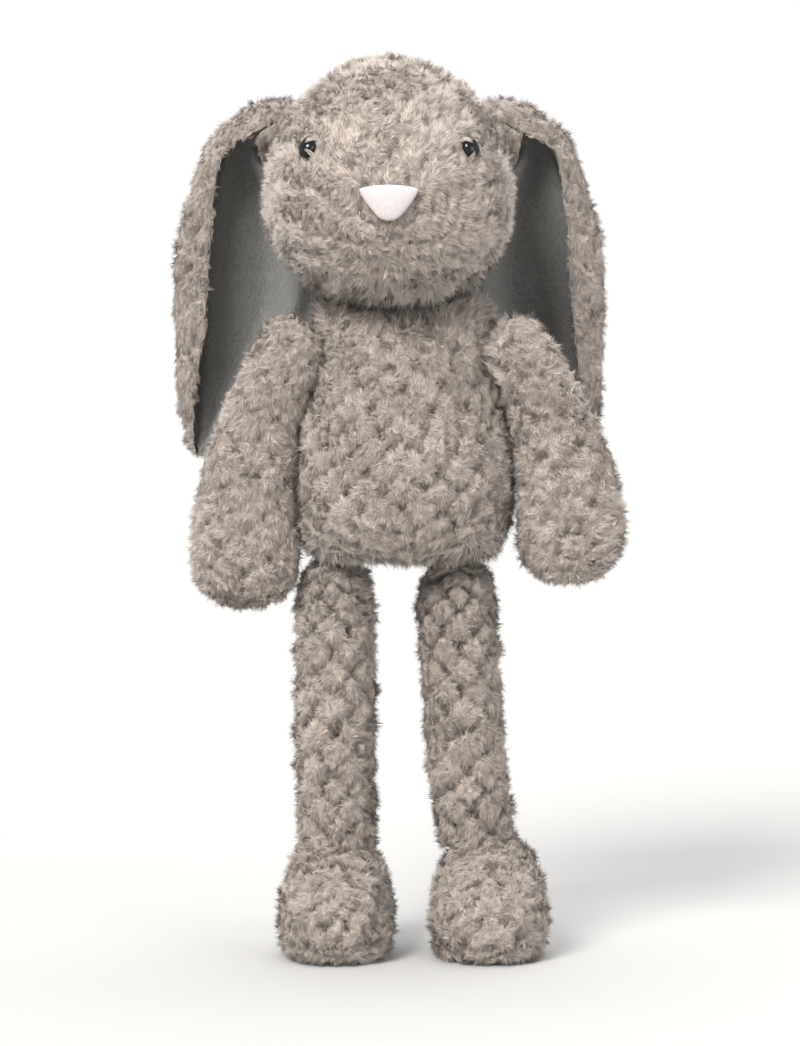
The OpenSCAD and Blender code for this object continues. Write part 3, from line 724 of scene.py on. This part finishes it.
def make_foot(side):
    sign = SIDES[side]
    low, high = joined_box("foot_upper_" + side, "foot_sole_" + side)
    middle, half = (low + high) / 2, (high - low) / 2
    keys = []
    for f, w, d, dy in ((0.0, 0.02, 0.02, 0), (0.005, 0.70, 0.72, 0), (0.03, 0.87, 0.88, 0),
                        (0.12, 0.97, 0.98, 0), (0.28, 1.0, 1.0, 0), (0.5, 0.97, 0.93, 0.02),
                        (0.72, 0.87, 0.76, 0.12),
                        (0.9, 0.68, 0.56, 0.2), (1.0, 0.4, 0.36, 0.24), (1.02, 0.02, 0.02, 0.24)):
        keys.append((middle[0], middle[1] + dy * half[1], f * high[2], half[0] * w, half[1] * d))
    skin = Skin(ringed(keys, "level", square=2.1), 110, 161, seed=23 + int(sign), inset=1.6 * MM)
    seam = np.exp(-((skin.points[..., 2] - SOLE_SEAM_Z) / (1.7 * MM)) ** 2)
    skin.points -= skin.normal * (2.2 * MM * seam)[..., None]
    # The sole seam counts as a crease, so the pile along it is darkened as painted shade.
    skin.crease = np.maximum(skin.crease, 0.8 * seam)
    skin.points[..., 2] = np.maximum(skin.points[..., 2], 1.2 * MM)
    part = skin.piece("foot_upper_" + side + "_plush", [plush_skin])
    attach(part, "foot_" + side)
    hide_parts("foot_upper_" + side, "foot_sole_" + side, "foot_filling_" + side)
    fur = pile("foot_" + side + "_pile", skin, seed=61 + int(sign), comb=(0, -0.5, -0.6))
    co = np.zeros(len(fur.data.vertices) * 3, np.float32)
    fur.data.vertices.foreach_get("co", co)
    co = co.reshape(-1, 3)
    co[:, 2] = np.maximum(co[:, 2], 0.1 * MM)
    fur.data.vertices.foreach_set("co", co.ravel())
    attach(fur, "foot_" + side)


for side in SIDES:
    make_leg(side)
    make_foot(side)


# ---- Ears --------------------------------------------------------------------------------------------
EAR_ROWS = (  # outward from the head's middle, backward, height below the root, half width, half depth
    (45.0, 1.0, -6.0, 9.0, 8.0), (56.0, 5.0, -8.0, 12.5, 11.0), (67.5, 11.0, -15.0, 14.5, 13.0),
    (75.5, 16.0, -28.0, 19.5, 14.5), (72.5, 19.0, -54.0, 32.5, 16.0), (71.0, 21.0, -88.0, 38.0, 16.0),
    (78.5, 21.0, -122.0, 31.0, 15.0), (88.5, 21.0, -150.0, 20.0, 11.0), (95.0, 20.5, -168.0, 9.0, 6.0),
    (97.0, 20.0, -176.0, 2.0, 1.5))


def ear_shape(side, inset=0.0, edge=0.0, bound=0.0):
    """The ear as it hangs: a fold at its root that opens forward into a deep gutter. The lining is bound
    over the rim beside the head."""
    sign = SIDES[side]
    root = joint_place("ear_lift_" + side)
    keys = [(hx + sign * out * MM, root[1] + back * MM, root[2] + up * MM, a * MM, b * MM)
            for out, back, up, a, b in EAR_ROWS]

    def shape(u, angle):
        k = run(keys, u)
        after, before = run(keys, np.minimum(u + 0.01, 1)), run(keys, np.maximum(u - 0.01, 0))
        ahead = unit((after - before)[..., :3])
        lateral = unit(np.cross(np.array([0.0, sign, 0.0]), ahead) * -1.0)
        depth = unit(np.cross(ahead, lateral))
        depth = np.where(depth[..., 1:2] < 0, -depth, depth)
        share = np.degrees(angle) / 360 + 0.5
        opening = smoothstep(u, 0.13, 0.34)
        first = -88 + opening * (30 + edge)
        last = 268 - opening * (90 + edge - bound)
        a = np.radians(first + (last - first) * share)
        fold = 1 + 0.35 * opening * np.exp(-((np.degrees(a) - 112) / 20) ** 2)
        slack = inset * (1 - (0.75 if bound else 0.0) * smoothstep(share, 0.82, 1.0))
        p = k[..., :3] + (np.maximum(k[..., 3] - slack, 0.2 * MM) * np.cos(a))[..., None] * lateral
        p += (np.maximum(k[..., 4] - slack, 0.2 * MM) * np.sin(a) * fold)[..., None] * depth
        return p
    return shape


def make_ear(side):
    sign = SIDES[side]
    body = "ear_" + side
    outer = Skin(ear_shape(side), 150, 121, seed=29 + int(sign), inset=0.6 * MM, puff=1.3 * MM,
                 clump=0.4 * MM, angles=(-180, 180))
    centre_line = outer.base.mean(1, keepdims=True)
    if ((outer.points - centre_line) * outer.normal).sum() < 0:
        outer.normal = -outer.normal
    part = outer.piece("ear_outer_" + side + "_plush", [plush_skin], thickness=1.0 * MM)
    inner = Skin(ear_shape(side, inset=4.4 * MM, edge=7.0, bound=12.0), 150, 121, seed=2, inset=0.0,
                 puff=0.0, clump=0.0, u_range=(0.015, 0.985), angles=(-180, 180))
    out = sign * inner.points[..., 0]
    near, far = out.min(1, keepdims=True), out.max(1, keepdims=True)
    share = (out - near) / (far - near)
    window = smoothstep(inner.u, 0.24, 0.36) * (1 - smoothstep(inner.u, 0.72, 0.9))
    drift = 0.05 * np.sin(inner.u * 9)
    folds = 10 * np.exp(-((share - 0.24 - drift) / 0.12) ** 2)
    folds += 5 * np.exp(-((share - 0.74 + drift) / 0.13) ** 2)
    inner.points[..., 1] -= folds * window * MM
    wave = np.sin(inner.s / (3.1 * MM) + 2.2 * np.sin(inner.t / (13 * MM)))
    wave *= np.exp(-(inner.angle / 1.9) ** 2)
    fine = np.sin(inner.t / (1.9 * MM) + 3.0 * np.sin(inner.s / (9 * MM)))
    inner.points += inner.normal * (0.22 * MM * wave + 0.10 * MM * fine)[..., None]
    cloth = inner.piece("ear_lining_" + side + "_cloth", [lining], thickness=0.8 * MM)
    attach(part, body)
    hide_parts("ear_outer_" + side)
    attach(cloth, body)
    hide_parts("ear_lining_" + side)
    fur = pile("ear_" + side + "_pile", outer, seed=81 + int(sign), comb=(0, 0, -1), comb_weight=0.6,
               rise=0.5)
    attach(fur, body)


for side in SIDES:
    make_ear(side)


# ---- Nose --------------------------------------------------------------------------------------------
def make_nose():
    half_w = (nose_high[0] - nose_low[0]) / 2
    half_h = (nose_high[2] - nose_low[2]) / 2
    rows, cols = 25, 97
    # The outline: three corners rounded, the top edge bowed a little
    corners = np.array([(-1.03, 0.62), (-0.86, 0.90), (0.0, 1.04), (0.86, 0.90), (1.03, 0.62), (0.62, -0.35),
                        (0.24, -0.92), (-0.24, -0.92), (-0.62, -0.35)])
    loop = np.concatenate([corners, corners[:1]])
    padded_loop = np.concatenate([loop[-2:-1], loop, loop[1:2]])
    last = len(padded_loop) - 1
    outline = run(padded_loop, np.linspace(1 / last, (last - 1) / last, cols))
    share = np.linspace(0, 1, rows)[:, None, None]
    flat = outline[None] * share
    x = nose_place[0] + flat[..., 0] * half_w
    z = nose_place[2] + flat[..., 1] * half_h
    crown = 1.6 * MM * np.sqrt(np.clip(1 - share[..., 0] ** 3.2, 0, 1)) + np.zeros_like(x)
    curve = ((flat[..., 0] * half_w) ** 2) / (2 * 42 * MM) + ((flat[..., 1] * half_h) ** 2) / (2 * 60 * MM)
    y = nose_low[1] - 1.2 * MM - crown + curve
    p = np.stack([x, y, z], -1)
    back = np.stack([x[-1], y[-1] + 3.5 * MM, z[-1]], -1)[None]
    p = np.concatenate([p, back])
    rows += 1
    grid = np.arange(rows * cols).reshape(rows, cols)
    quads = np.stack([grid[:-1, :-1], grid[:-1, 1:], grid[1:, 1:], grid[1:, :-1]], -1).reshape(-1, 4)
    piece = new_mesh("nose_patch_velour", p.reshape(-1, 3), np.full(len(quads), 4), quads.ravel(), [pink])
    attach(piece, "head")
    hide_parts("nose_patch")


make_nose()


# ---- Tail and label ----------------------------------------------------------------------------------
def make_tail():
    low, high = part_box("tail_cover")
    low, high = np.array(low) - np.array([0.0, TAIL_SEAT, 0.0]), np.array(high)
    middle, half = (low + high) / 2, (high - low) / 2
    keys = [(middle[0], middle[1], middle[2] - c * half[2], half[0] * math.sqrt(max(1 - c * c, 0.0004)),
             half[1] * math.sqrt(max(1 - c * c, 0.0004))) for c in np.cos(np.linspace(0, math.pi, 13))]
    skin = Skin(ringed(keys, "level"), 60, 81, seed=5, puff=1.4 * MM, inset=2.5 * MM)
    part = skin.piece("tail_cover_plush", [plush_skin])
    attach(part, "torso")
    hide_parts("tail_cover", "tail_filling")
    fur = pile("tail_pile", skin, seed=91, length=7.0 * MM, comb_weight=0.2)
    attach(fur, "torso")


def make_label():
    low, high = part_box("care_label")
    rows, cols = 13, 17
    a, b = np.meshgrid(np.linspace(0, 1, rows), np.linspace(0, 1, cols), indexing="ij")
    x = low[0] + (high[0] - low[0]) * b
    y = low[1] + (high[1] - low[1]) * b + 0.6 * MM * np.sin(b * 5.0)
    z = low[2] + (high[2] - low[2]) * a
    p = np.stack([x, y, z], -1)
    grid = np.arange(rows * cols).reshape(rows, cols)
    quads = np.stack([grid[:-1, :-1], grid[:-1, 1:], grid[1:, 1:], grid[1:, :-1]], -1).reshape(-1, 4)
    piece = new_mesh("care_label_tape", p.reshape(-1, 3), np.full(len(quads), 4), quads.ravel(), [tape])
    thick = piece.modifiers.new("thick", "SOLIDIFY")
    thick.thickness = 0.4 * MM
    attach(piece, "torso")
    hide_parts("care_label")


make_tail()
make_label()

# ---- CAD pieces that stay: eyes, washers and threads --------------------------------------------------
for name, node in frame["nodes"].items():
    kept = (("washer", washer_plastic), ("eye_", eye_plastic), ("thread", thread))
    material = next((m for word, m in kept if word in name), None)
    if material is not None:
        node.data.materials.clear()
        node.data.materials.append(material)
